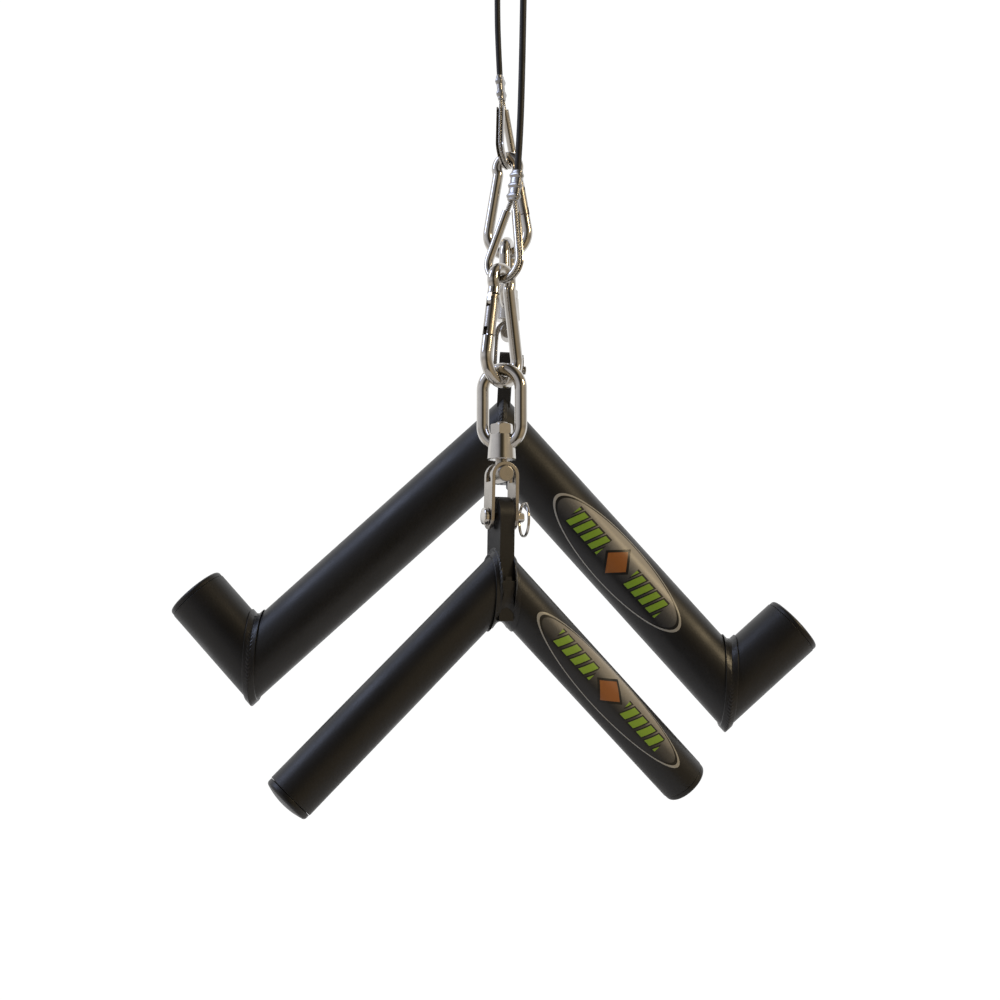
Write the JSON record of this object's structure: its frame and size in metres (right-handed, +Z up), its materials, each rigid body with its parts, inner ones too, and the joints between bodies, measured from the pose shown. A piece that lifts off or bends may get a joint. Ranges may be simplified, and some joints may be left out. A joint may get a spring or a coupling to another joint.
{
  "type": "cable pull bar set",
  "caption": "Two V-shaped steel tube pull bars, one slim and one thick with turned-up ends, each hung by a wire rope, snap hook and swivel from a ceiling hanger.",
  "frame": {"origin": "middle of the hanger plate's top face, between its two bolt holes, where it meets the ceiling", "axes": "+Z up, +Y away from the person pulling, +X to their right"},
  "size_m": [0.4632, 0.2198, 0.6914],
  "materials": {
    "black_powder_coat": "fine satin powder coat",
    "bracket_black": "satin powder coat",
    "weld_bead": "rippled weld under powder coat",
    "polished_steel": "polished stainless",
    "satin_steel": "satin stainless",
    "wire_rope": "stranded bright wire",
    "crimp_sleeve": "pressed, bright",
    "rope_jacket": "smooth black vinyl",
    "moulded_cap": "moulded, satin",
    "printed_label": "printed vinyl"
  },
  "bodies": {
    "hanger": {"hanger_plate": "bracket_black", "front_hanger_eye": "polished_steel", "front_eye_locknut": "polished_steel", "rear_hanger_eye": "polished_steel", "rear_eye_locknut": "polished_steel"},
    "front_cable": {"front_jacketed_rope": "rope_jacket", "front_upper_thimble": "polished_steel", "front_upper_rope_loop": "wire_rope", "front_upper_ferrule": "crimp_sleeve", "front_lower_thimble": "polished_steel", "front_lower_rope_loop": "wire_rope", "front_lower_ferrule": "crimp_sleeve"},
    "front_hook": {"front_snap_hook": "polished_steel", "front_gate_rivet": "polished_steel"},
    "front_gate": {"front_snap_gate": "satin_steel", "front_gate_spring": "satin_steel"},
    "front_eye": {"front_swivel_eye": "polished_steel"},
    "front_bolt": {"front_toggle_bolt": "satin_steel", "front_swivel_nut": "polished_steel"},
    "front_strap": {"front_toggle_strap": "satin_steel"},
    "front_pin": {"front_clevis_pin": "polished_steel"},
    "front_ring": {"front_split_ring": "polished_steel"},
    "front_bar": {"front_lug_plate": "black_powder_coat", "front_apex_welds": "weld_bead", "front_label": "printed_label", "front_left_arm_tube": "black_powder_coat", "front_left_end_cap": "moulded_cap", "front_right_arm_tube": "black_powder_coat", "front_right_end_cap": "moulded_cap"},
    "rear_cable": {"rear_jacketed_rope": "rope_jacket", "rear_upper_thimble": "polished_steel", "rear_upper_rope_loop": "wire_rope", "rear_upper_ferrule": "crimp_sleeve", "rear_lower_thimble": "polished_steel", "rear_lower_rope_loop": "wire_rope", "rear_lower_ferrule": "crimp_sleeve"},
    "rear_hook": {"rear_snap_hook": "polished_steel", "rear_gate_rivet": "polished_steel"},
    "rear_gate": {"rear_snap_gate": "satin_steel", "rear_gate_spring": "satin_steel"},
    "rear_eye": {"rear_swivel_eye": "polished_steel"},
    "rear_bolt": {"rear_toggle_bolt": "satin_steel", "rear_swivel_nut": "polished_steel"},
    "rear_strap": {"rear_toggle_strap": "satin_steel"},
    "rear_pin": {"rear_clevis_pin": "polished_steel"},
    "rear_ring": {"rear_split_ring": "polished_steel"},
    "rear_bar": {"rear_lug_plate": "black_powder_coat", "rear_apex_welds": "weld_bead", "rear_label": "printed_label", "rear_left_arm_tube": "black_powder_coat", "rear_left_stub_tube": "black_powder_coat", "rear_left_end_cap": "moulded_cap", "rear_right_arm_tube": "black_powder_coat", "rear_right_stub_tube": "black_powder_coat", "rear_right_end_cap": "moulded_cap", "rear_elbow_welds": "weld_bead"}
  },
  "joints": [
    {"name": "front_cable_swing", "type": "hinge", "parent": "hanger", "child": "front_cable", "pos_m": [0.0091, -0.05645, -0.0415], "axis": [0, 1, 0], "range_deg": [-10, 10]},
    {"name": "front_hook_swing", "type": "hinge", "parent": "front_cable", "child": "front_hook", "pos_m": [-0.0061, -0.05645, -0.358], "axis": [0.788, -0.6157, 0], "range_deg": [-14, 7]},
    {"name": "front_gate_hinge", "type": "hinge", "parent": "front_hook", "child": "front_gate", "pos_m": [-0.01187, -0.06333, -0.3721], "axis": [0.766, -0.6428, 0], "range_deg": [0, 28], "stiffness_Nm_per_rad": 0.05, "springref_deg": -57.3},
    {"name": "front_eye_swing", "type": "hinge", "parent": "front_hook", "child": "front_eye", "pos_m": [-0.0061, -0.05645, -0.4226], "axis": [0.6428, 0.766, 0], "range_deg": [-18, 18]},
    {"name": "front_bolt_spin", "type": "hinge", "parent": "front_eye", "child": "front_bolt", "pos_m": [-0.0061, -0.05645, -0.4813], "axis": [0, 0, 1], "continuous": true},
    {"name": "front_strap_tilt", "type": "hinge", "parent": "front_bolt", "child": "front_strap", "pos_m": [-0.0061, -0.05645, -0.4813], "axis": [-0.3256, 0.9455, 0], "range_deg": [-25, 25]},
    {"name": "front_pin_spin", "type": "hinge", "parent": "front_strap", "child": "front_pin", "pos_m": [-0.0065, -0.05659, -0.5083], "axis": [0.9454, 0.3255, -0.0157], "continuous": true},
    {"name": "front_ring_swing", "type": "hinge", "parent": "front_pin", "child": "front_ring", "pos_m": [0.00503, -0.05262, -0.50849], "axis": [0.0149, 0.0051, 0.9999], "range_deg": [0, 55]},
    {"name": "front_bar_swing", "type": "hinge", "parent": "front_strap", "child": "front_bar", "pos_m": [-0.0065, -0.05659, -0.5083], "axis": [0.9454, 0.3255, -0.0157], "range_deg": [-25, 25]},
    {"name": "rear_cable_swing", "type": "hinge", "parent": "hanger", "child": "rear_cable", "pos_m": [-0.0091, 0.05645, -0.0415], "axis": [0, 1, 0], "range_deg": [-10, 10]},
    {"name": "rear_hook_swing", "type": "hinge", "parent": "rear_cable", "child": "rear_hook", "pos_m": [-0.0016, 0.05645, -0.2447], "axis": [0.3746, 0.9272, 0], "range_deg": [-10, 14]},
    {"name": "rear_gate_hinge", "type": "hinge", "parent": "rear_hook", "child": "rear_gate", "pos_m": [0.00694, 0.05368, -0.2588], "axis": [0.309, 0.9511, 0], "range_deg": [0, 28], "stiffness_Nm_per_rad": 0.05, "springref_deg": -57.3},
    {"name": "rear_eye_swing", "type": "hinge", "parent": "rear_hook", "child": "rear_eye", "pos_m": [-0.0016, 0.05645, -0.3093], "axis": [0.9511, -0.309, 0], "range_deg": [-10, 18]},
    {"name": "rear_bolt_spin", "type": "hinge", "parent": "rear_eye", "child": "rear_bolt", "pos_m": [-0.0016, 0.05645, -0.368], "axis": [0, 0, 1], "range_deg": [-35, 35]},
    {"name": "rear_strap_tilt", "type": "hinge", "parent": "rear_bolt", "child": "rear_strap", "pos_m": [-0.0016, 0.05645, -0.368], "axis": [0.0175, 0.9998, 0], "range_deg": [-15, 25]},
    {"name": "rear_pin_spin", "type": "hinge", "parent": "rear_strap", "child": "rear_pin", "pos_m": [-0.00301, 0.05647, -0.39496], "axis": [0.9985, -0.0174, -0.0523], "continuous": true},
    {"name": "rear_ring_swing", "type": "hinge", "parent": "rear_pin", "child": "rear_ring", "pos_m": [0.00917, 0.05626, -0.3956], "axis": [0.0523, -0.0009, 0.9986], "range_deg": [0, 55]},
    {"name": "rear_bar_swing", "type": "hinge", "parent": "rear_strap", "child": "rear_bar", "pos_m": [-0.00301, 0.05647, -0.39496], "axis": [0.9985, -0.0174, -0.0523], "range_deg": [-15, 25]}
  ]
}
